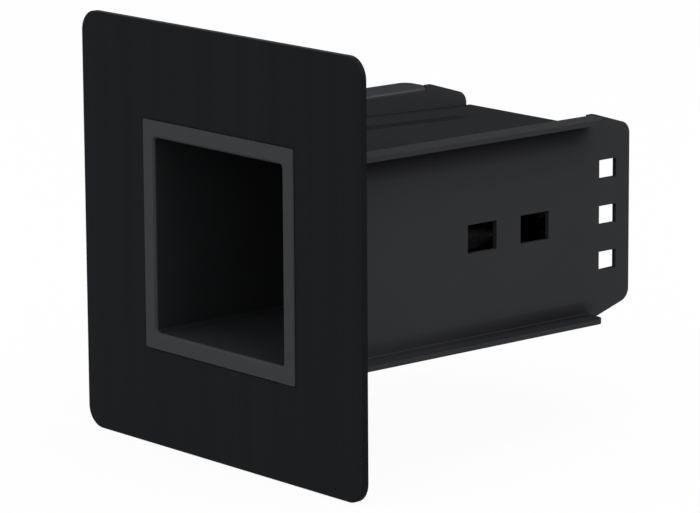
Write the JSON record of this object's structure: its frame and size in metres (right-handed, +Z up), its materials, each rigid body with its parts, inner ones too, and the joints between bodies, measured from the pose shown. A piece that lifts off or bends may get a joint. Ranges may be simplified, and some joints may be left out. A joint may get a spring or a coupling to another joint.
{
  "type": "in-desk power module",
  "caption": "Square front plate with a moulded recess and a socket at its bottom, on a folded steel chassis with outward flanges, ears and a rear mains inlet.",
  "frame": {"origin": "centre of the square plate on its back face, which is the plane that seats on the desk", "axes": "+Y runs into the desk along the module, +X to the right seen from the front, +Z up in the picture"},
  "size_m": [0.1, 0.1018, 0.1],
  "materials": {
    "plate_black": "satin black powder coat with a faint upright grain",
    "channel_black": "matte black powder coat on folded sheet",
    "liner_plastic": "fine-textured black moulding, rim slightly lighter",
    "socket_plastic": "satin black moulding",
    "inlet_plastic": "satin black moulding",
    "brass": "plain rolled brass",
    "zinc_steel": "zinc plated"
  },
  "bodies": {
    "root": {"front_plate": "plate_black", "plate_studs": "zinc_steel", "stud_washers": "zinc_steel", "stud_nuts": "zinc_steel", "recess_liner": "liner_plastic", "right_channel": "channel_black", "left_channel": "channel_black", "top_cover": "channel_black", "bottom_cover": "channel_black", "rear_panel": "channel_black", "socket_face": "socket_plastic", "socket_base": "socket_plastic", "line_contact": "brass", "neutral_contact": "brass", "earth_contact": "brass", "socket_screws": "zinc_steel", "terminal_shroud": "inlet_plastic", "inlet_body": "inlet_plastic", "inlet_screws": "zinc_steel", "inlet_nuts": "zinc_steel", "earth_strap": "brass", "earth_screw": "brass", "earth_nut": "brass"}
  },
  "joints": []
}
